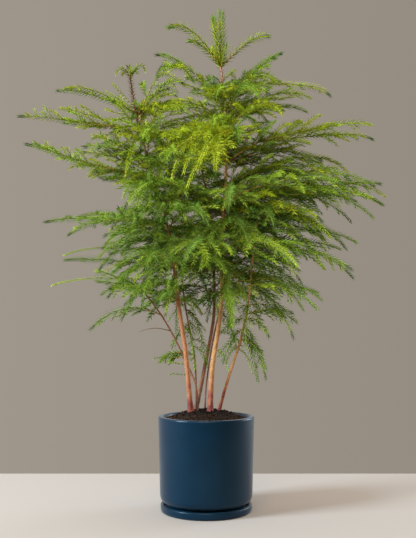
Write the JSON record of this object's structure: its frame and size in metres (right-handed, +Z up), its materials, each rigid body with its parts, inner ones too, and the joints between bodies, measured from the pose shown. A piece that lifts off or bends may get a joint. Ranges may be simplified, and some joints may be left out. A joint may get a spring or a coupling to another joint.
{
  "type": "potted norfolk island pine",
  "caption": "A clump of slender young pines with tiered, feathery branches in a round blue glazed pot on its saucer.",
  "frame": {"origin": "centre of the saucer's flat underside, on the ground", "axes": "+Z up; -Y towards the viewer of the picture; +X to the viewer's right, the side of the widest lower branches"},
  "size_m": [0.7319, 0.5482, 1.011],
  "materials": {
    "glaze": "satin",
    "soil": "matte",
    "bark": "matte",
    "needles": "satin"
  },
  "bodies": {
    "root": {"bough_centre_1a": "bark", "bough_centre_3a": "bark", "bough_centre_4a": "bark", "bough_centre_4b": "bark", "bough_centre_5a": "bark", "bough_left_2a": "bark", "bough_left_3a": "bark", "bough_left_4a": "bark", "foliage_back_1a": "needles", "foliage_back_1b": "needles", "foliage_back_2a": "needles", "foliage_back_top": "needles", "foliage_centre_1a": "needles", "foliage_centre_1b": "needles", "foliage_centre_1c": "needles", "foliage_centre_2a": "needles", "foliage_centre_2b": "needles", "foliage_centre_2c": "needles", "foliage_centre_3a": "needles", "foliage_centre_3b": "needles", "foliage_centre_3c": "needles", "foliage_centre_4a": "needles", "foliage_centre_4b": "needles", "foliage_centre_4c": "needles", "foliage_centre_5a": "needles", "foliage_centre_5b": "needles", "foliage_centre_6a": "needles", "foliage_centre_top": "needles", "foliage_left_1a": "needles", "foliage_left_1b": "needles", "foliage_left_2a": "needles", "foliage_left_2b": "needles", "foliage_left_2c": "needles", "foliage_left_3a": "needles", "foliage_left_3b": "needles", "foliage_left_3c": "needles", "foliage_left_4a": "needles", "foliage_left_4b": "needles", "foliage_left_5a": "needles", "foliage_left_5b": "needles", "foliage_left_6a": "needles", "foliage_left_top": "needles", "foliage_low_left_1a": "needles", "foliage_low_left_top": "needles", "foliage_right_1a": "needles", "foliage_right_2a": "needles", "foliage_right_top": "needles", "foliage_thin_left_1a": "needles", "foliage_thin_left_top": "needles", "foliage_thin_right_top": "needles", "pot": "glaze", "saucer": "glaze", "soil": "soil", "stem_back": "bark", "stem_centre": "bark", "stem_left": "bark", "stem_low_left": "bark", "stem_right": "bark", "stem_thin_left": "bark", "stem_thin_right": "bark"}
  },
  "joints": []
}
